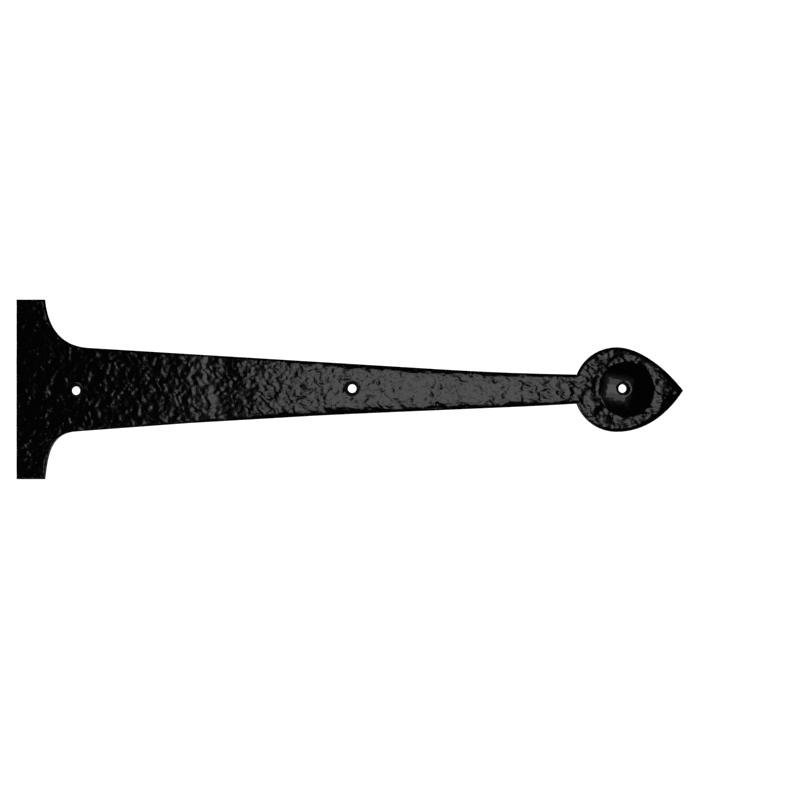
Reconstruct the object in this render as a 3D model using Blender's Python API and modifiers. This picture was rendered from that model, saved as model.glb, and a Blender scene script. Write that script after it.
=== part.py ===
"""A cast-iron hinge front: the decorative strap that is screwed to a door beside the knuckle of a butt hinge.

It is one casting with a T flare at the butt end, a tapered strap, a spear head with a domed boss, and
three countersunk screw holes. The origin is on the door face, where the centrelines of the flare and of the
strap cross. +X runs along the strap to the tip, +Z is up, and the decorated front faces -Y.
"""

import math

import bmesh
import bpy
from mathutils import Matrix, Vector

MM = 0.001

# Plate
OVERALL_LENGTH = 381 * MM
BAR_WIDTH = 16.1 * MM
BAR_HEIGHT = 102.8 * MM
THICKNESS = 4.0 * MM
EDGE_ROUNDING = 1.2 * MM

# Spear head
HEAD_RADIUS = 24.28 * MM
HEAD_CENTRE = Vector((334.8 * MM, -0.1 * MM))
TIP_DROP = 0.6 * MM

# The outline above and below the centreline. The pattern was filed by hand, so the two sides differ. Each
# handle is given from its own knot: a curve leaves along an _out handle and arrives along an _in handle.
ABOVE = {
    "side": 1,
    "flare_out": Vector((1.5, -16.0)) * MM,
    "flare_in": Vector((-17.0, 0.65)) * MM,
    "root": Vector((34.0, 23.8)) * MM,
    "strap_out": Vector((213.0, -12.5)) * MM,
    "strap_in": Vector((-69.0, 1.4)) * MM,
    "neck": 8.6 * MM,
    "flank_out": 11.9 * MM,
    "tip_in": 18.5 * MM,
    "tip_angle": math.radians(52),
}
BELOW = {
    "side": -1,
    "flare_out": Vector((1.6, 13.6)) * MM,
    "flare_in": Vector((-14.3, -1.0)) * MM,
    "root": Vector((25.5, -24.2)) * MM,
    "strap_out": Vector((137.0, 11.1)) * MM,
    "strap_in": Vector((-69.5, -4.2)) * MM,
    "neck": 8.3 * MM,
    "flank_out": 19.1 * MM,
    "tip_in": 12.2 * MM,
    "tip_angle": math.radians(57),
}

# Boss on the head: a shallow spherical cap on a short upright rim
BOSS_CENTRE = Vector((340.4 * MM, 0.0))
BOSS_RADIUS = 15.4 * MM
BOSS_RIM = 0.5 * MM
BOSS_RISE = 2.0 * MM
BOSS_ROOT = 1.5 * MM

# Screw holes, for a No. 8 countersunk screw
HOLE_RADIUS = 2.4 * MM
COUNTERSINK_RADIUS = 4.4 * MM
HOLE_CENTRES = {
    "flare": Vector((25.8 * MM, -0.7 * MM)),
    "strap": Vector((183.7 * MM, 0.5 * MM)),
    "head": Vector((338.1 * MM, 0.5 * MM)),
}

# Fineness of the round stretches
OUTLINE_STEPS = 18
EDGE_STEPS = 3
HOLE_SIDES = 48
BOSS_SIDES = 96
BOSS_ARC_STEPS = 8
CUTTER_OVERRUN = 1.0 * MM
MERGE = 0.001 * MM
FLAT_ANGLE = math.radians(0.5)
RIM_ANGLE = math.radians(60)
SMOOTH_ANGLE = math.radians(30)

BUTT_X = -BAR_WIDTH / 2
TIP = Vector((OVERALL_LENGTH - BAR_WIDTH / 2, -TIP_DROP))
STAND_UPRIGHT = Matrix.Rotation(math.radians(90), 4, "X")


def clear_scene():
    for obj in list(bpy.data.objects):
        bpy.data.objects.remove(obj, do_unlink=True)


def new_collection(name, hidden=False):
    collection = bpy.data.collections.new(name)
    collection.hide_render = hidden
    bpy.context.scene.collection.children.link(collection)
    return collection


def black_japan():
    """Glossy black japan, baked on over the rough skin of the casting."""
    material = bpy.data.materials.new("black_japan")
    material.use_nodes = True
    shader = material.node_tree.nodes["Principled BSDF"]
    shader.inputs["Base Color"].default_value = (0.004, 0.004, 0.004, 1)
    shader.inputs["Roughness"].default_value = 0.12
    shader.inputs["Metallic"].default_value = 0.0
    material.diffuse_color = (0.02, 0.02, 0.02, 1)
    return material


def arc_handle(radius, angle):
    """How long a Bezier handle is, for a stretch that turns through this angle on a circle."""
    return 4 / 3 * math.tan(angle / 4) * radius


def neck_joint(shape):
    """Where the strap's edge runs into the head's circle, and how far round from the strap that is."""
    side = shape["side"]
    lift = math.asin((shape["neck"] - side * HEAD_CENTRE.y) / HEAD_RADIUS)
    return HEAD_CENTRE + HEAD_RADIUS * Vector((-math.cos(lift), side * math.sin(lift))), lift


def side_of_plate(shape):
    """The knots of one side, from the bar's corner to the tip, each with the handles before and after it.

    The flare sweeps from the bar's corner into the strap, which is a long, slightly hollow taper. The back
    of the head follows its circle from the neck to the crown, and its flank swells before it runs to the tip.
    """
    side = shape["side"]
    corner = Vector((BAR_WIDTH / 2, side * BAR_HEIGHT / 2))
    root = shape["root"]
    joint, lift = neck_joint(shape)
    crown = HEAD_CENTRE + Vector((0, side * HEAD_RADIUS))
    turn = arc_handle(HEAD_RADIUS, math.pi / 2 - lift)
    back_out = turn * Vector((math.sin(lift), side * math.cos(lift)))
    tip_angle = shape["tip_angle"]
    tip_in = shape["tip_in"] * Vector((-math.cos(tip_angle), side * math.sin(tip_angle)))
    return [
        (corner, None, corner + shape["flare_out"]),
        (root, root + shape["flare_in"], root + shape["strap_out"]),
        (joint, joint + shape["strap_in"], joint + back_out),
        (crown, crown - Vector((turn, 0)), crown + Vector((shape["flank_out"], 0))),
        (TIP, TIP + tip_in, None),
    ]


def outline_knots():
    """All the knots of the closed outline, clockwise from the butt edge's lower corner."""
    upper = side_of_plate(ABOVE)
    lower = side_of_plate(BELOW)
    tip = (TIP, upper[-1][1], lower[-1][1])
    back_along_lower = [(point, after, before) for point, before, after in reversed(lower[:-1])]
    butt = [
        (Vector((BUTT_X, -BAR_HEIGHT / 2)), None, None),
        (Vector((BUTT_X, BAR_HEIGHT / 2)), None, None),
    ]
    return butt + upper[:-1] + [tip] + back_along_lower


def plate_from_outline(collection):
    """The flat plate, as a filled curve as thick as the casting, made a mesh and stood upright."""
    curve = bpy.data.curves.new("plate_outline", "CURVE")
    curve.dimensions = "2D"
    curve.fill_mode = "BOTH"
    curve.extrude = THICKNESS / 2
    curve.resolution_u = OUTLINE_STEPS
    knots = outline_knots()
    spline = curve.splines.new("BEZIER")
    spline.bezier_points.add(len(knots) - 1)
    spline.use_cyclic_u = True
    for knot, (point, before, after) in zip(spline.bezier_points, knots):
        knot.co = point.to_3d()
        knot.handle_left_type = "VECTOR" if before is None else "FREE"
        knot.handle_right_type = "VECTOR" if after is None else "FREE"
        if before is not None:
            knot.handle_left = before.to_3d()
        if after is not None:
            knot.handle_right = after.to_3d()
    outline = bpy.data.objects.new("plate_outline", curve)
    outline.matrix_world = Matrix.Translation((0, -THICKNESS / 2, 0)) @ STAND_UPRIGHT
    collection.objects.link(outline)
    bpy.context.view_layer.update()

    evaluated = outline.evaluated_get(bpy.context.evaluated_depsgraph_get())
    mesh = bpy.data.meshes.new_from_object(evaluated)
    plate = bpy.data.objects.new("strap_plate", mesh)
    plate.matrix_world = outline.matrix_world.copy()
    collection.objects.link(plate)
    bpy.data.objects.remove(outline)
    return plate


def round_front_edge(plate):
    """Rounds the edge between the front face and the walls. The edge at the door face stays square."""
    bm = bmesh.new()
    bm.from_mesh(plate.data)
    bmesh.ops.remove_doubles(bm, verts=bm.verts, dist=MERGE)
    bmesh.ops.dissolve_limit(
        bm, angle_limit=FLAT_ANGLE, verts=bm.verts, edges=bm.edges, delimit=set()
    )
    front = THICKNESS / 2
    rim = [
        edge
        for edge in bm.edges
        if all(abs(vert.co.z - front) < MERGE for vert in edge.verts)
        and edge.calc_face_angle(0) > RIM_ANGLE
    ]
    bmesh.ops.bevel(
        bm, geom=rim, offset=EDGE_ROUNDING, segments=EDGE_STEPS, profile=0.5, affect="EDGES", material=-1
    )
    bmesh.ops.recalc_face_normals(bm, faces=bm.faces)
    bm.to_mesh(plate.data)
    bm.free()


def turned(name, profile, sides, collection):
    """A solid of revolution about the local Z axis, from a profile that runs down its outer side."""
    mesh = bpy.data.meshes.new(name)
    bm = bmesh.new()
    points = [bm.verts.new((radius, 0, height)) for radius, height in profile]
    for upper, lower in zip(points, points[1:]):
        bm.edges.new((upper, lower))
    bm.to_mesh(mesh)
    bm.free()
    obj = bpy.data.objects.new(name, mesh)
    screw = obj.modifiers.new("turn", "SCREW")
    screw.axis = "Z"
    screw.angle = math.tau
    screw.steps = sides
    screw.render_steps = sides
    screw.use_merge_vertices = True
    screw.merge_threshold = MERGE
    collection.objects.link(obj)
    return obj


def put_on_front(obj, centre, depth=0.0):
    """Stands a turned solid's axis square to the plate, with its height 0 this far behind the front face."""
    place = Matrix.Translation((centre.x, -THICKNESS + depth, centre.y))
    obj.matrix_world = place @ STAND_UPRIGHT


def helper(obj):
    """Marks a solid that only cuts or joins another."""
    obj.hide_render = True
    obj.display_type = "WIRE"
    return obj


def combine(target, other, operation):
    boolean = target.modifiers.new(other.name, "BOOLEAN")
    boolean.operation = operation
    boolean.solver = "EXACT"
    boolean.object = other


def dome_profile():
    """The boss from its crown down: a spherical cap, then its rim, then its root inside the plate."""
    sphere = (BOSS_RADIUS**2 + BOSS_RISE**2) / (2 * BOSS_RISE)
    half_angle = math.asin(BOSS_RADIUS / sphere)
    cap = []
    for step in range(BOSS_ARC_STEPS + 1):
        angle = half_angle * step / BOSS_ARC_STEPS
        cap.append((sphere * math.sin(angle), BOSS_RIM + BOSS_RISE - sphere * (1 - math.cos(angle))))
    return cap + [(BOSS_RADIUS, -BOSS_ROOT), (0, -BOSS_ROOT)]


def add_boss(plate, helpers):
    boss = helper(turned("boss", dome_profile(), BOSS_SIDES, helpers))
    put_on_front(boss, BOSS_CENTRE)
    combine(plate, boss, "UNION")


def boss_height(centre):
    """How far the casting's front stands above the plate's own front face at this place."""
    reach = (centre - BOSS_CENTRE).length
    if reach >= BOSS_RADIUS:
        return 0.0
    sphere = (BOSS_RADIUS**2 + BOSS_RISE**2) / (2 * BOSS_RISE)
    return BOSS_RIM + BOSS_RISE - sphere + math.sqrt(sphere**2 - reach**2)


def drill_profile():
    """A cutter for one screw hole, top to bottom: clearance, then a 90 degree countersink, then the shank."""
    sink_depth = COUNTERSINK_RADIUS - HOLE_RADIUS
    flare = COUNTERSINK_RADIUS + CUTTER_OVERRUN
    longest_shank = THICKNESS + BOSS_RIM + BOSS_RISE + CUTTER_OVERRUN
    return [
        (0, CUTTER_OVERRUN),
        (flare, CUTTER_OVERRUN),
        (HOLE_RADIUS, -sink_depth),
        (HOLE_RADIUS, -longest_shank),
        (0, -longest_shank),
    ]


def drill_holes(plate, helpers):
    for place, centre in HOLE_CENTRES.items():
        drill = helper(turned(f"drill_{place}", drill_profile(), HOLE_SIDES, helpers))
        put_on_front(drill, centre, depth=-boss_height(centre))
        combine(plate, drill, "DIFFERENCE")


def build():
    clear_scene()
    parts = new_collection("strap_hinge_front")
    helpers = new_collection("helpers", hidden=True)
    plate = plate_from_outline(parts)
    round_front_edge(plate)
    add_boss(plate, helpers)
    drill_holes(plate, helpers)
    plate.data.materials.append(black_japan())
    plate.data.shade_smooth()
    plate.data.set_sharp_from_angle(angle=SMOOTH_ANGLE)


build()
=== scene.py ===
# %% [markdown]
# # A cast-iron hinge front
# A hinge front is the long decorative strap that is screwed to a door beside a plain butt hinge. This
# one is a single iron casting: a T-shaped flare, a tapering strap and a spear head with a low domed
# boss. Foundries give it a hammered skin in the mould and then bake glossy black japan over it. In this
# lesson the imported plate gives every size, and what is made here is what the eye reads as real: the
# hammered skin and the gloss.

import math

import bmesh
import bpy
from mathutils import Matrix, Vector, noise
from mathutils.bvhtree import BVHTree
from mathutils.kdtree import KDTree


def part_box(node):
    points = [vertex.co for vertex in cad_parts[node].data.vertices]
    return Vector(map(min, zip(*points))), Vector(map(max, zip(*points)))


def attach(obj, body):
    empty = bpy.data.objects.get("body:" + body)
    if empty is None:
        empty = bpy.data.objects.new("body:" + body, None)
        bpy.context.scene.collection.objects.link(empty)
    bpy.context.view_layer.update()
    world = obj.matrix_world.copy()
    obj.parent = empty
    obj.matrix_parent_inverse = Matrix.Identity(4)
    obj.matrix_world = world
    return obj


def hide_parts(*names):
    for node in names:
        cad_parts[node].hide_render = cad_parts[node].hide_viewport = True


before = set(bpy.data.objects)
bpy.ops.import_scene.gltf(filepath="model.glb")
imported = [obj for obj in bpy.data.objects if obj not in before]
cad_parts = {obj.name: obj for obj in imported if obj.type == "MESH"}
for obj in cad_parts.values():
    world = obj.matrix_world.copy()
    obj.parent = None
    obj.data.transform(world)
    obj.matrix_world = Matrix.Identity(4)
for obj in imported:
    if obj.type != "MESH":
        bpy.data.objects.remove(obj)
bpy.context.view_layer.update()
MM = 0.001

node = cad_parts["strap_plate"]
lowest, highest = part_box("strap_plate")
LENGTH = highest.x - lowest.x
HEIGHT = highest.z - lowest.z
print(f"plate {LENGTH / MM:.1f} mm long, {HEIGHT / MM:.1f} mm tall")

# %% [markdown]
# The solid plate already knows where everything is, so its sizes are read from its vertices and not
# typed in again. Its back lies flat on the door. The flare's front is the plate's own front, and
# whatever stands further forward than that is the boss.

# %% Read the plate's sizes
# The flare's bar is all plain plate, and levels more than a hair apart are different surfaces.
BAR_WIDTH = 15 * MM
HAIR = 0.1 * MM
BACK = highest.y
bar_points = [vert.co for vert in node.data.vertices if vert.co.x < lowest.x + BAR_WIDTH]
FRONT = min(point.y for point in bar_points)
boss_points = [vert.co for vert in node.data.vertices if vert.co.y < FRONT - HAIR]
boss_left = min(point.x for point in boss_points)
boss_right = max(point.x for point in boss_points)
boss_foot = min(point.z for point in boss_points)
boss_head = max(point.z for point in boss_points)
BOSS = Vector(((boss_left + boss_right) / 2, (boss_foot + boss_head) / 2))
BOSS_RADIUS = (boss_right - boss_left) / 2
BOSS_TOP = FRONT - lowest.y
BOSS_RIM = FRONT - max(point.y for point in boss_points if point.x > boss_right - HAIR)
print(f"thickness {(BACK - FRONT) / MM:.1f} mm")
print(f"boss radius {BOSS_RADIUS / MM:.1f} mm, {BOSS_TOP / MM:.1f} mm high")

# %% [markdown]
# ## The camera
# The plate is looked at square-on, from far enough away that its edges hardly show. It fills five
# sixths of the frame's width, close to the left border, with its centreline just above the middle.

# %% Place the camera
PLATE_SHARE = 0.834
LEFT_MARGIN = 0.0204
VIEW_DROP = 0.0132
FRAMED_DEPTH = 1 * MM
LENS = 85
SENSOR = 36
view_width = LENGTH / PLATE_SHARE
distance = view_width * LENS / SENSOR
camera_data = bpy.data.cameras.new("camera")
camera_data.lens = LENS
camera_data.sensor_width = SENSOR
camera = bpy.data.objects.new("camera", camera_data)
VIEW_X = lowest.x + (0.5 - LEFT_MARGIN) * view_width
VIEW_Z = -VIEW_DROP * view_width
camera.location = (VIEW_X, FRONT + FRAMED_DEPTH - distance, VIEW_Z)
camera.rotation_euler = (math.radians(90), 0, 0)
bpy.context.scene.collection.objects.link(camera)
bpy.context.scene.camera = camera
print(f"camera {distance:.3f} m in front of the plate")

# %% [markdown]
# ## The plate as a sheet
# The hammered skin needs a fine, even net of triangles, which the solid plate doesn't have. It could be
# remeshed with voxels, but that frays the outline. Here the plate's flat back is kept as a sheet, with
# its outline and screw holes, and everything else is deleted. The same sheet then serves for the front
# and for the back.


# %% Take the flat back as a sheet
MERGE_DISTANCE = 0.001 * MM
LEVEL_TOLERANCE = 0.01 * MM


def flat_back(source, level):
    """The faces of a mesh that lie at this level of Y, as a new bmesh."""
    sheet = bmesh.new()
    sheet.from_mesh(source)
    bmesh.ops.remove_doubles(sheet, verts=sheet.verts, dist=MERGE_DISTANCE)
    others = [
        face
        for face in sheet.faces
        if any(abs(vert.co.y - level) > LEVEL_TOLERANCE for vert in face.verts)
    ]
    bmesh.ops.delete(sheet, geom=others, context="FACES")
    return sheet


sheet = flat_back(node.data, BACK)
print(f"the back has {len(sheet.faces)} triangles")


# %% Find the rims of the sheet
def rims(sheet):
    """The open rims of a sheet, the longest first, each as a list of edges."""
    waiting = dict.fromkeys(edge for edge in sheet.edges if edge.is_boundary)
    found = []
    while waiting:
        rim = []
        following = [waiting.popitem()[0]]
        while following:
            edge = following.pop()
            rim.append(edge)
            for other in [other for vert in edge.verts for other in vert.link_edges]:
                if other in waiting:
                    del waiting[other]
                    following.append(other)
        found.append(rim)
    return sorted(found, key=lambda rim: -sum(edge.calc_length() for edge in rim))


def centre_of(rim):
    points = [vert.co for edge in rim for vert in edge.verts]
    return sum(points, Vector()) / len(points)


outer_rim, *hole_rims = rims(sheet)
HOLES = [Vector((centre_of(rim).x, centre_of(rim).z)) for rim in hole_rims]
HOLE_RADIUS = max((vert.co - centre_of(hole_rims[0])).length for vert in hole_rims[0][0].verts)
print(f"{len(HOLES)} screw holes of {2 * HOLE_RADIUS / MM:.1f} mm")

# %% [markdown]
# ## An even net
# A few narrow rows are laid along every rim first. They follow the outline exactly, so the rounded edge
# and the countersinks, which are shaped from them, come out clean. The outline becomes one big face
# that is inset again and again. The rows' faces are then still as long as the stretches of the outline,
# so each column of them is cut across. All the edges of a column get the same number of cuts, and the
# cuts of neighbouring rows meet.

# %% Lay rows along the outline
RIM_STEP = 0.55 * MM


def inset_rows(net, face, widths):
    """Insets a face once for each width and takes away what is left of it."""
    for width in widths:
        bmesh.ops.inset_region(
            net, faces=[face], thickness=width, use_boundary=True, use_even_offset=True
        )
    bmesh.ops.delete(net, geom=[face], context="FACES_ONLY")


def column_from(edge):
    """The edges that lie one behind another from a rim edge inwards, across the rows."""
    column = [edge]
    faces = list(edge.link_faces)
    while faces:
        face = faces[0]
        edge = next(other for other in face.edges if not set(other.verts) & set(edge.verts))
        column.append(edge)
        faces = [other for other in edge.link_faces if other is not face]
    return column


def lay_outline_rows(net, widths):
    corners = {vert: net.verts.new(vert.co) for edge in outer_rim for vert in edge.verts}
    for edge in outer_rim:
        net.edges.new([corners[vert] for vert in edge.verts])
    outline = bmesh.ops.contextual_create(net, geom=net.edges[:])["faces"][0]
    inset_rows(net, outline, widths)
    by_cuts = {}
    for edge in rims(net)[0]:
        cuts = math.ceil(edge.calc_length() / RIM_STEP) - 1
        by_cuts.setdefault(cuts, []).extend(column_from(edge))
    for cuts, edges in by_cuts.items():
        bmesh.ops.subdivide_edges(net, edges=edges, cuts=cuts)


# %% Lay rows round the holes
HOLE_SIDES = 48
UPRIGHT = Matrix.Rotation(math.radians(90), 4, "X")


def lay_hole_rows(net, widths):
    """Each hole is a disc that is inset down to the hole's own size."""
    for hole in HOLES:
        place = Matrix.Translation((hole.x, BACK, hole.y)) @ UPRIGHT
        made = bmesh.ops.create_circle(
            net, cap_ends=True, radius=HOLE_RADIUS + sum(widths), segments=HOLE_SIDES, matrix=place
        )
        inset_rows(net, made["verts"][0].link_faces[0], reversed(widths))


# %% [markdown]
# The space between the rows is laid with a square grid, like graph paper under a drawing. The points
# that lie inside and clear of the rows stay. A rough fill of the same space tells which those are: a
# point that is inside lies on it.


# %% Lay a grid inside the rows
ON_FILL = 0.05 * MM
CLEAR_SHARE = 0.8


def search_tree(points):
    tree = KDTree(len(points))
    for index, point in enumerate(points):
        tree.insert(point, index)
    tree.balance()
    return tree


def rough_fill(net, core_rims):
    """A search tree of the space between the rims, filled with long triangles."""
    net.edges.index_update()
    drawing = net.copy()
    bmesh.ops.delete(drawing, geom=drawing.faces[:], context="FACES_ONLY")
    drawing.edges.ensure_lookup_table()
    edges = [drawing.edges[edge.index] for rim in core_rims for edge in rim]
    bmesh.ops.triangle_fill(drawing, use_beauty=True, edges=edges)
    fill = BVHTree.FromBMesh(drawing)
    drawing.free()
    return fill


def lay_grid(net, core_rims, cell):
    inside = rough_fill(net, core_rims)
    near_rows = search_tree([vert.co for rim in core_rims for edge in rim for vert in edge.verts])
    spread = Matrix.Diagonal((LENGTH / 2, HEIGHT / 2, 1, 1))
    middle = (lowest + highest) / 2
    made = bmesh.ops.create_grid(
        net,
        x_segments=round(LENGTH / cell),
        y_segments=round(HEIGHT / cell),
        size=1,
        matrix=Matrix.Translation((middle.x, BACK, middle.z)) @ UPRIGHT @ spread,
    )
    outside = [
        vert
        for vert in made["verts"]
        if inside.find_nearest(vert.co)[3] > ON_FILL or near_rows.find(vert.co)[2] < CLEAR_SHARE * cell
    ]
    bmesh.ops.delete(net, geom=outside, context="VERTS")


# %% [markdown]
# Where two cells touch only at a corner, the grid's rim crosses itself, and such points are taken out.
# Then each gap between the grid and a rim is laced up with triangles.


# %% Lace the grid to the rows
def crossings(net):
    """The points where the rim of a sheet crosses itself, or where a stray edge hangs on it."""
    return [
        vert
        for vert in net.verts
        if any(edge.is_wire for edge in vert.link_edges)
        or not vert.link_edges
        or sum(edge.is_boundary for edge in vert.link_edges) > 2
    ]


def lace(net, core_rims, grid_rims):
    for rim in core_rims:
        centre = centre_of(rim)
        if rim is core_rims[0]:
            partner = grid_rims[0]
        else:
            partner = min(grid_rims[1:], key=lambda other: (centre_of(other) - centre).length)
        bmesh.ops.triangle_fill(net, use_beauty=True, edges=rim + partner)


def netted_sheet(outline_widths, hole_widths, cell):
    """The plate's outline with its holes as one even net of triangles, flat on the door face."""
    net = bmesh.new()
    lay_outline_rows(net, outline_widths)
    lay_hole_rows(net, hole_widths)
    row_rims = rims(net)
    row_edges = {edge for rim in row_rims for edge in rim}
    core_rims = row_rims[1 : 2 + len(HOLES)]
    lay_grid(net, core_rims, cell)
    while crossings(net):
        bmesh.ops.delete(net, geom=crossings(net), context="VERTS")
    grid_rims = [rim for rim in rims(net) if rim[0] not in row_edges]
    lace(net, core_rims, grid_rims)
    bmesh.ops.triangulate(net, faces=net.faces[:])
    bmesh.ops.recalc_face_normals(net, faces=net.faces[:])
    return net


FRONT_CELL = 0.55 * MM
FRONT_ROWS = [0.12 * MM, 0.20 * MM, 0.28 * MM, 0.30 * MM, 0.30 * MM]
SINK_ROWS = [0.20 * MM, 0.45 * MM, 0.45 * MM, 0.45 * MM, 0.45 * MM]
front = netted_sheet(FRONT_ROWS, SINK_ROWS, FRONT_CELL)
print(f"front: {len(front.faces)} triangles")

BACK_CELL = 1.3 * MM
BACK_ROWS = [0.08 * MM, 0.17 * MM]
back = netted_sheet(BACK_ROWS, BACK_ROWS, BACK_CELL)
print(f"back: {len(back.faces)} triangles")

# %% [markdown]
# ## The hammered skin
# The front is shaped as one height over the door face, point by point. Each feature of the real casting
# is a short function: the rounded edge, the boss, the shaping of the head, the hammering, its pits, and
# the ripples along the edges. They could be a displacement texture, but heights in the mesh are also
# there for the side views. All of them are worked out in millimetres.

# %% How far in from the outline a point lies
NEAREST_STRETCHES = 3
outline_ends = [tuple(vert.co for vert in edge.verts) for edge in rims(back)[0]]
near_outline = search_tree([(start + end) / 2 for start, end in outline_ends])


def distance_to_stretch(point, start, end):
    along = end - start
    share = (point - start).dot(along) / along.length_squared
    return (point - start - max(0, min(1, share)) * along).length


def distance_in(point):
    stretches = [outline_ends[index] for _, index, _ in near_outline.find_n(point, NEAREST_STRETCHES)]
    return min(distance_to_stretch(point, start, end) for start, end in stretches) / MM


# %% Values that change along the strap
def smoothstep(low, high, value):
    share = max(0, min(1, (value - low) / (high - low)))
    return share * share * (3 - 2 * share)


def at_station(stations, x):
    """A value that changes smoothly along the strap, from what it is at a few stations."""
    for (start, first), (end, second) in zip(stations, stations[1:]):
        if x < end:
            return first + (second - first) * smoothstep(start, end, x)
    return stations[-1][1]


# %% The rounded edge
# The edge is a quarter ellipse. It is crisp on the flare, and rubbed down wide and uneven along the
# strap. Every pattern here is a slice through the same solid noise, and a slice of its own keeps it
# unlike the rest.
EDGE_SLICE, PIT_SLICE, WAVE_SLICE, STREAK_SLICE = 5, 3, 9, 17
EDGE_DEPTH = sum(FRONT_ROWS) / MM
UPPER_ROUND = [
    (110, 1.3), (160, 2.2), (190, 3.6), (215, 3.6), (250, 3.0), (300, 2.0), (325, 2.0), (345, 5.5)
]
LOWER_ROUND = [
    (90, 1.3), (150, 3.8), (190, 5.2), (215, 5.2), (260, 4.2), (300, 2.4), (325, 1.8), (345, 3.0)
]
ROUND_BLEND = 3
ROUND_UNEVENNESS = 0.7
ROUND_WAVE = 7


def edge_width(x, z):
    upper = at_station(UPPER_ROUND, x)
    lower = at_station(LOWER_ROUND, x)
    width = lower + (upper - lower) * smoothstep(-ROUND_BLEND, ROUND_BLEND, z)
    wave = noise.noise(Vector((x / ROUND_WAVE, z / ROUND_WAVE, EDGE_SLICE)))
    return max(EDGE_DEPTH, width * (1 + ROUND_UNEVENNESS * wave))


def edge_drop(x, z, inward):
    """How far the rounded edge falls back from the front face."""
    width = edge_width(x, z)
    share = max(0, min(1, 1 - inward / width))
    return EDGE_DEPTH * (1 - math.sqrt(1 - share**2))


# %% The boss
BOSS_RISE = (BOSS_TOP - BOSS_RIM) / MM
boss_radius = BOSS_RADIUS / MM
boss_sphere = (boss_radius**2 + BOSS_RISE**2) / (2 * BOSS_RISE)
FOOT_WIDTH = 0.5


def from_boss(x, z):
    return math.hypot(x - BOSS.x / MM, z - BOSS.y / MM)


def boss_height(x, z):
    """A spherical cap on a short steep rim."""
    reach = from_boss(x, z)
    drop = boss_sphere - math.sqrt(boss_sphere**2 - min(reach, boss_radius) ** 2)
    past_rim = max(0, min(1, (reach - boss_radius) / FOOT_WIDTH))
    return (1 - past_rim) * (BOSS_TOP / MM - drop)


# %% Bring the net's points onto the boss's rim
# Points close to the rim's two edges slide onto them, or the rim would come out ragged.
for vert in front.verts:
    x, z = vert.co.x / MM, vert.co.z / MM
    reach = from_boss(x, z)
    for ring in (boss_radius, boss_radius + FOOT_WIDTH):
        if abs(reach - ring) < FOOT_WIDTH / 2:
            vert.co.x = BOSS.x + (vert.co.x - BOSS.x) * ring / reach
            vert.co.z = BOSS.y + (vert.co.z - BOSS.y) * ring / reach


# %% The head round the boss
# The head dips towards the boss, and falls off from its crest to the tip, where it was beaten thinner.
HEAD_START = 312
DIP_WIDTH = 6.5
DIP_DEPTH = 0.34
CREST_REACH = 20.3
TIP_SLOPE = 0.06
STROKES = 3.2
STROKE_LENGTH = 12
STROKE_DEPTH = 0.22
STROKE_START = 2


def head_height(x, z):
    """The dip and the fall to the tip, with hammer strokes that run out from the boss."""
    on_head = smoothstep(HEAD_START, HEAD_START + DIP_WIDTH, x)
    reach = from_boss(x, z)
    dip = DIP_DEPTH * (1 - smoothstep(boss_radius - FOOT_WIDTH, boss_radius + DIP_WIDTH, reach))
    past_crest = max(0, x - BOSS.x / MM - CREST_REACH)
    outward = Vector((x - BOSS.x / MM, z - BOSS.y / MM, 0)).normalized()
    stroke = STROKE_DEPTH * noise.noise(STROKES * outward + Vector((0, 0, reach / STROKE_LENGTH)))
    stroke *= smoothstep(boss_radius, boss_radius + STROKE_START, reach)
    return on_head * (stroke - dip) - TIP_SLOPE * past_crest


# %% The hammered skin
# The noise that bends the flecks is shifted by a random amount, and the seed keeps that the same.
noise.seed_set(2)
FLECK_ALONG = 2.6
FLECK_ACROSS = [(95, 2.6), (125, 1.9), (175, 1.9), (210, 2.6), (265, 2.6), (295, 1.9)]
FLECK_BEND = 0.8
BEND_SCALE = 0.45
FLECK_SHARPNESS = 1.5
FLECK_DEPTH = [
    (50, 0.30), (100, 0.25), (165, 0.24), (200, 0.22), (265, 0.22), (290, 0.29), (330, 0.32)
]
WAVE = 5.5
WAVE_DEPTH = [(50, 0.22), (100, 0.17), (165, 0.13), (265, 0.15), (290, 0.24), (330, 0.28)]
PIT_SPACING = 3.4
PIT_REACH = (0.5, 1.5)
PIT_STRETCH = 1.4
PIT_CHANCE = 7
PIT_SHARPNESS = 1.5
PIT_DEPTH = [(160, 0.13), (195, 0.32), (265, 0.32), (300, 0.13)]
STREAK = Vector((7, 1.2))
STREAK_DEPTH = [(150, 0), (190, 0.15), (230, 0.15), (260, 0.05)]
STREAK_FROM = 2
STREAK_REACH = 9
BOSS_SKIN = 0.1
SKIN_START = 0.3
SKIN_FULL = 1
DENT_X = 108.5
DENT_LEAN = 0.1
DENT_WIDTH = 10
DENT_DEPTH = 0.42


def pit_drop(x, z):
    """Pits a little taller than wide, one in each cell of a Voronoi pattern, many too shallow to see."""
    spot = Vector((x / PIT_SPACING, z / PIT_SPACING / PIT_STRETCH, PIT_SLICE))
    distances, centres = noise.voronoi(spot)
    size = min(1, 2 * abs(noise.noise(PIT_CHANCE * centres[0])))
    reach = PIT_REACH[0] + (PIT_REACH[1] - PIT_REACH[0]) * size
    share = max(0, 1 - distances[0] * PIT_SPACING / reach)
    return at_station(PIT_DEPTH, x) * size * share**PIT_SHARPNESS


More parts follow.
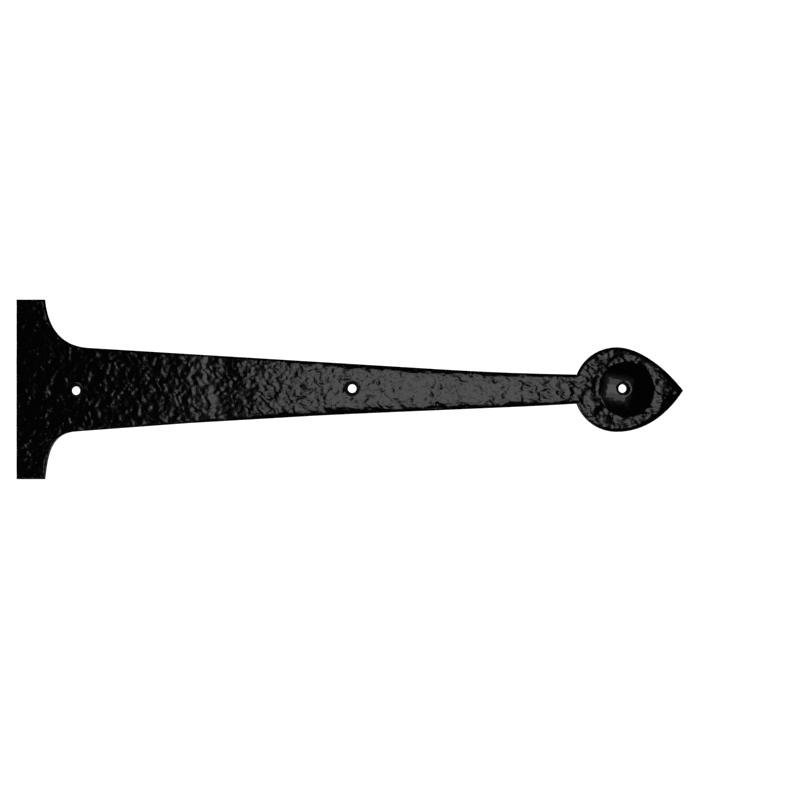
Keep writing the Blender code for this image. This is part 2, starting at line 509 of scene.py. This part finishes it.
def skin_height(x, z):
    """Fine flecks and pits on broader waves, and one dent across the strap. The boss is nearly smooth."""
    spot = Vector((x / FLECK_ALONG, z / at_station(FLECK_ACROSS, x), 0))
    spot += FLECK_BEND * noise.noise_vector(spot * BEND_SCALE)
    fleck = noise.noise(spot)
    flecks = at_station(FLECK_DEPTH, x) * math.copysign(abs(fleck) ** FLECK_SHARPNESS, fleck)
    waves = at_station(WAVE_DEPTH, x) * noise.noise(Vector((x / WAVE, z / WAVE, WAVE_SLICE)))
    past_boss = smoothstep(boss_radius - SKIN_START, boss_radius + SKIN_FULL, from_boss(x, z))
    off_boss = BOSS_SKIN + (1 - BOSS_SKIN) * past_boss
    dent = DENT_DEPTH * math.exp(-(((x - DENT_X + DENT_LEAN * z) / DENT_WIDTH) ** 2))
    return off_boss * (flecks + waves - pit_drop(x, z)) - dent


def streak_height(x, z, inward):
    """Long low ripples beside the edge, where the hammer glanced along it."""
    ripple = noise.noise(Vector((x / STREAK.x, z / STREAK.y, STREAK_SLICE)))
    return at_station(STREAK_DEPTH, x) * ripple * (1 - smoothstep(STREAK_FROM, STREAK_REACH, inward))


# %% The countersinks
SINK_RADIUS = (HOLE_RADIUS + sum(SINK_ROWS)) / MM
SINK_MARGIN = 1
THICKNESS = (BACK - FRONT) / MM


def sink_bottom(x, z):
    """The level of the countersink's cone here, or none where no hole is near."""
    for hole in HOLES:
        reach = math.hypot(x - hole.x / MM, z - hole.y / MM)
        if reach < SINK_RADIUS + SINK_MARGIN:
            level = THICKNESS + boss_height(hole.x / MM, hole.y / MM)
            return level - (SINK_RADIUS - reach)
    return math.inf


# %% Shape the front
def front_height(x, z, inward):
    """How far the casting's front stands off the door face, in millimetres."""
    height = THICKNESS + boss_height(x, z) + head_height(x, z) + skin_height(x, z)
    height += streak_height(x, z, inward)
    return min(height - edge_drop(x, z, inward), sink_bottom(x, z))


for vert in front.verts:
    vert.co.y = BACK - MM * front_height(vert.co.x / MM, vert.co.z / MM, distance_in(vert.co))
print(f"front shaped, up to {(BACK - min(vert.co.y for vert in front.verts)) / MM:.2f} mm off the door")

# %% [markdown]
# ## Close the plate
# The back gets its own small rounded edge. The walls of the outline and of the holes are the front's
# rims, drawn back in a few steps and welded to the back's rims.

# %% Shape the back and join the two
# The back's broad shallow marks are where the iron sank a little as it cooled.
BACK_EDGE_RADIUS = sum(BACK_ROWS)
SINK_MARK = 0.12 * MM
SINK_WIDTH = 5 * MM
back_holes = [centre_of(rim) for rim in rims(back)[1:]]
for vert in back.verts:
    inward = distance_in(vert.co) * MM
    inward = min(inward, *((vert.co - centre).length - HOLE_RADIUS for centre in back_holes))
    short = max(0, min(BACK_EDGE_RADIUS, BACK_EDGE_RADIUS - inward))
    vert.co.y = BACK - BACK_EDGE_RADIUS + math.sqrt(BACK_EDGE_RADIUS**2 - short**2)
    if inward > BACK_EDGE_RADIUS:
        vert.co.y -= SINK_MARK * (0.5 + noise.noise(vert.co / SINK_WIDTH))
bmesh.ops.reverse_faces(back, faces=back.faces[:])

WALL_STEPS = 4
WELD_DISTANCE = 0.02 * MM
wall_foot = BACK - BACK_EDGE_RADIUS
rim_edges = [edge for edge in front.edges if edge.is_boundary]
for step in range(WALL_STEPS):
    drawn = bmesh.ops.extrude_edge_only(front, edges=rim_edges)["geom"]
    rim_edges = [item for item in drawn if isinstance(item, bmesh.types.BMEdge) and item.is_boundary]
    for vert in {vert for edge in rim_edges for vert in edge.verts}:
        vert.co.y += (wall_foot - vert.co.y) / (WALL_STEPS - step)
back_mesh = bpy.data.meshes.new("back")
back.to_mesh(back_mesh)
front.from_mesh(back_mesh)
bpy.data.meshes.remove(back_mesh)
open_verts = [vert for vert in front.verts if vert.is_boundary]
bmesh.ops.remove_doubles(front, verts=open_verts, dist=WELD_DISTANCE)
bmesh.ops.triangulate(front, faces=front.faces[:])
bmesh.ops.recalc_face_normals(front, faces=front.faces[:])
print(f"{len(front.faces)} triangles, {sum(edge.is_boundary for edge in front.edges)} open edges")

# %% Make the casting an object
# The attribute says where the skin is hammered, 1, and where it is smooth, 0 on the boss.
SHARP_ANGLE = math.radians(38)
casting_mesh = bpy.data.meshes.new("casting")
front.to_mesh(casting_mesh)
casting = bpy.data.objects.new("casting", casting_mesh)
bpy.context.scene.collection.objects.link(casting)
casting_mesh.shade_smooth()
casting_mesh.set_sharp_from_angle(angle=SHARP_ANGLE)
hammering = casting_mesh.attributes.new("hammering", "FLOAT", "POINT")
for vert, value in zip(casting_mesh.vertices, hammering.data):
    value.value = smoothstep(boss_radius - 1, boss_radius, from_boss(vert.co.x / MM, vert.co.z / MM))
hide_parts("strap_plate")
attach(casting, "root")


# %% [markdown]
# ## Black japan
# Japan is a glossy black enamel of bitumen and oil, baked on over the rough casting. It is a clear hard
# coat with hardly any light coming back out of it, so all that shows is its mirror-like skin: a plain
# dielectric with an index of 1.5 over a near-black colour. It flows a little as it bakes, which leaves
# a faint orange peel.


# %% A helper for nodes and one for colours
def add_node(tree, kind, values=None, links=None, **settings):
    """Adds a node, sets its properties and its inputs' values, and links its inputs to other outputs."""
    made = tree.nodes.new(kind)
    for name, value in settings.items():
        setattr(made, name, value)
    for name, value in (values or {}).items():
        made.inputs[name].default_value = value
    for name, output in (links or {}).items():
        tree.links.new(output, made.inputs[name])
    return made


def from_hex(code):
    """A colour as Blender keeps it, from its sRGB hex value."""
    channels = [int(code[place : place + 2], 16) / 255 for place in (0, 2, 4)]
    return [c / 12.92 if c <= 0.04045 else ((c + 0.055) / 1.055) ** 2.4 for c in channels] + [1]


# %% Baked black japan
# It gives the eye a mirror of the room in black glass, broken up by the hammering. The finest relief,
# its grain and peel, is drawn a little coarser than the real one so that it shows. The smooth boss is
# the glossiest.
GRAIN_WIDTH = 0.5 * MM
GRAIN_HEIGHT = 0.014 * MM
PEEL_WIDTH = 1.2 * MM
PEEL_HEIGHT = 0.02 * MM
SPECK_SPACING = 2.2 * MM
SPECK_DEPTH = 0.04 * MM
SPECK_REACH = (0.05, 0.32)
PEEL_ROUGHNESS = (0.09, 0.15)
BOSS_ROUGHNESS = 0.06
japan = bpy.data.materials.new("black_japan")
japan.use_nodes = True
tree = japan.node_tree
shader = tree.nodes["Principled BSDF"]
shader.inputs["Base Color"].default_value = from_hex("020202")
shader.inputs["IOR"].default_value = 1.5
place = add_node(tree, "ShaderNodeTexCoord").outputs["Object"]
hammered = add_node(tree, "ShaderNodeAttribute", attribute_name="hammering").outputs["Fac"]
grain = add_node(tree, "ShaderNodeTexNoise", {"Scale": 1 / GRAIN_WIDTH, "Detail": 1}, {"Vector": place})
peel = add_node(tree, "ShaderNodeTexNoise", {"Scale": 1 / PEEL_WIDTH, "Detail": 1}, {"Vector": place})
cells = add_node(tree, "ShaderNodeTexVoronoi", {"Scale": 1 / SPECK_SPACING}, {"Vector": place})
specks = add_node(
    tree,
    "ShaderNodeMapRange",
    {"From Min": SPECK_REACH[0], "From Max": SPECK_REACH[1]},
    {"Value": cells.outputs["Distance"]},
    interpolation_type="SMOOTHSTEP",
)
reliefs = [
    (grain.outputs["Fac"], GRAIN_HEIGHT),
    (peel.outputs["Fac"], PEEL_HEIGHT),
    (specks.outputs["Result"], SPECK_DEPTH),
]
for relief, height in reliefs:
    bump = add_node(
        tree, "ShaderNodeBump", {"Distance": height}, {"Height": relief, "Strength": hammered}
    )
    if shader.inputs["Normal"].is_linked:
        tree.links.new(shader.inputs["Normal"].links[0].from_socket, bump.inputs["Normal"])
    tree.links.new(bump.outputs["Normal"], shader.inputs["Normal"])
roughness = add_node(
    tree,
    "ShaderNodeMapRange",
    {"From Min": 0.3, "From Max": 0.7, "To Min": PEEL_ROUGHNESS[0], "To Max": PEEL_ROUGHNESS[1]},
    {"Value": peel.outputs["Fac"]},
)
gloss = add_node(
    tree,
    "ShaderNodeMapRange",
    {"From Min": 0, "From Max": 1, "To Min": BOSS_ROUGHNESS},
    {"Value": hammered, "To Max": roughness.outputs["Result"]},
)
tree.links.new(gloss.outputs["Result"], shader.inputs["Roughness"])
casting_mesh.materials.append(japan)

# %% [markdown]
# ## Light and floor
# Gloss black shows nothing but what it mirrors. One large softbox stands beside the camera, so the
# strap mirrors it and turns grey, while every facet of the skin that looks past it stays black. The
# softbox's mirror image ends by the flare, which is why that end is nearly all black. A real softbox is
# brightest in the middle and fades beyond its rim. One panel could carry a gradient, but a stack of
# plain panels, whose glows add up, is simpler to read.

# %% The softbox
SOFTBOX_REACH = 0.942
SOFTBOX_LEFT = 0.080
SOFTBOX_RIGHT = 0.4545
SOFTBOX_HEIGHT = 0.38
SOFTBOX_TURN = math.radians(12)
SOFTBOX_GLOW = 1.05
MIDDLE_HEIGHT = 0.16
MIDDLE_GLOW = 0.8
SPILLS = 4
SPILL_STEP = 0.03
SPILL_GLOW = 0.05
PANEL_GAP = 0.01


def add_light_panel(name, width, height, glow):
    """A rectangular light that the camera doesn't see. Its power comes from how bright its face is."""
    data = bpy.data.lights.new(name, "AREA")
    data.shape = "RECTANGLE"
    data.size = width
    data.size_y = height
    data.energy = glow * math.pi * width * height
    panel = bpy.data.objects.new(name, data)
    panel.visible_camera = False
    bpy.context.scene.collection.objects.link(panel)
    return panel


def hang_layer(name, margin, height, glow, reach):
    """One layer of the softbox's glow, wider than the softbox by a margin at either end."""
    layer = add_light_panel(name, SOFTBOX_RIGHT - SOFTBOX_LEFT + 2 * margin, height, glow)
    layer.location = ((SOFTBOX_LEFT + SOFTBOX_RIGHT) / 2, FRONT - reach, 0)
    layer.rotation_euler = (math.radians(90), SOFTBOX_TURN, 0)


hang_layer("softbox", 0, SOFTBOX_HEIGHT, SOFTBOX_GLOW, SOFTBOX_REACH)
hang_layer("softbox_middle", 0, MIDDLE_HEIGHT, MIDDLE_GLOW, SOFTBOX_REACH - PANEL_GAP)
for step in range(1, SPILLS + 1):
    margin = step * SPILL_STEP
    hang_layer(
        f"spill_{step}", margin, SOFTBOX_HEIGHT + 2 * margin, SPILL_GLOW, SOFTBOX_REACH + step * PANEL_GAP
    )
print(f"softbox {SOFTBOX_RIGHT - SOFTBOX_LEFT:.2f} by {SOFTBOX_HEIGHT:.2f} m, with {SPILLS} spills")

# %% The fill card
# Only what is turned well away from the camera mirrors it. It shows the hammering from the side.
CARD_REACH = 1.2
CARD_WIDTH = 0.85
CARD_HEIGHT = 0.35
CARD_GLOW = 1.5
card_aim = Vector((-0.64, -0.64, -0.42)).normalized()
card = add_light_panel("fill_card", CARD_WIDTH, CARD_HEIGHT, CARD_GLOW)
card.location = Vector((lowest.x + LENGTH / 2, FRONT, 0)) + CARD_REACH * card_aim
card.rotation_euler = card_aim.to_track_quat("Z", "Y").to_euler()

# %% The floor
# It starts behind the plate and well below it, so that the plate's lower edge doesn't mirror it.
FLOOR_DROP = 0.30
FLOOR_WIDTH = 4.0
FLOOR_DEPTH = 1.05
FLOOR_START = 0.15
floor_mesh = bpy.data.meshes.new("floor")
floor_net = bmesh.new()
bmesh.ops.create_grid(floor_net, x_segments=1, y_segments=1, size=0.5)
bmesh.ops.scale(floor_net, verts=floor_net.verts, vec=(FLOOR_WIDTH, FLOOR_DEPTH, 1))
floor_middle = (lowest.x + LENGTH / 2, FLOOR_START + FLOOR_DEPTH / 2, lowest.z - FLOOR_DROP)
bmesh.ops.translate(floor_net, verts=floor_net.verts, vec=floor_middle)
floor_net.to_mesh(floor_mesh)
floor = bpy.data.objects.new("floor", floor_mesh)
bpy.context.scene.collection.objects.link(floor)

# Matt white paper gives the eye an even pale ground with no mirror image in it.
paper = bpy.data.materials.new("white_paper")
paper.use_nodes = True
paper.node_tree.nodes["Principled BSDF"].inputs["Base Color"].default_value = from_hex("f4f4f4")
paper.node_tree.nodes["Principled BSDF"].inputs["Roughness"].default_value = 0.9
floor_mesh.materials.append(paper)

# %% White all round, but not in the mirror
# The room lights the floor and stands behind the plate as plain white. A glossy surface would mirror it
# all over and turn grey, so reflected rays find the room dark.
ROOM_GLOW = 1.3
world = bpy.data.worlds.new("white_room")
world.use_nodes = True
bpy.context.scene.world = world
room = world.node_tree
ray = add_node(room, "ShaderNodeLightPath")
background = room.nodes["Background"]
background.inputs["Color"].default_value = (1, 1, 1, 1)
dark = add_node(
    room,
    "ShaderNodeMapRange",
    values={"From Min": 0, "From Max": 1, "To Min": ROOM_GLOW, "To Max": 0.0},
    links={"Value": ray.outputs["Is Glossy Ray"]},
)
room.links.new(dark.outputs["Result"], background.inputs["Strength"])
bpy.context.scene.view_settings.view_transform = "Standard"
